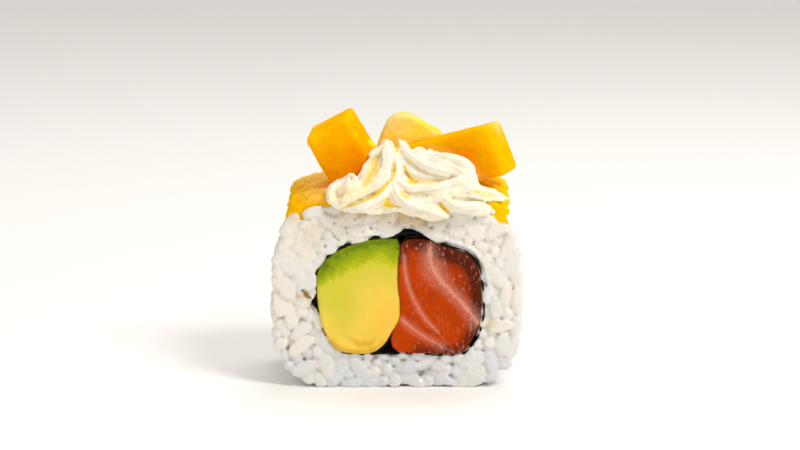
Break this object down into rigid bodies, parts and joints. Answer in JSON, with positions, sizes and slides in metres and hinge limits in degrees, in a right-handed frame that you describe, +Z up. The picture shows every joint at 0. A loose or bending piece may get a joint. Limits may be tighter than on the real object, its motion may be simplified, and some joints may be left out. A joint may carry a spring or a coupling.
{
  "type": "fruit uramaki",
  "caption": "Thick slice of inside-out sushi roll: rice around nori, avocado and salmon, topped with sliced mango, piped cream and mango pieces.",
  "frame": {"origin": "middle of the flat underside of the rice, halfway through the roll's depth", "axes": "+Z up, +Y along the roll's axis from the front cut face to the back one, +X to the right seen from the front"},
  "size_m": [0.045, 0.0276, 0.0503],
  "materials": {
    "rice": "moist cooked short-grain rice, slightly glossy and translucent",
    "nori": "damp pressed seaweed sheet, near black",
    "avocado": "smooth buttery flesh, green at the rim and yellow inside",
    "salmon": "raw fish, wet and translucent with pale lines of fat",
    "mango": "ripe mango flesh, moist, orange and finely fibrous",
    "mango_pale": "thin translucent mango slices, yellow with a frosted moist surface",
    "cream": "soft piped cream, ivory and satin"
  },
  "bodies": {
    "root": {"rice": "rice", "nori": "nori", "avocado": "avocado", "salmon": "salmon", "mango_slice_front": "mango_pale", "mango_slice_middle": "mango_pale", "mango_slice_rear": "mango_pale", "mango_wedge_rear": "mango_pale", "mango_cube_left": "mango", "mango_block_right": "mango", "cream": "cream"}
  },
  "joints": []
}
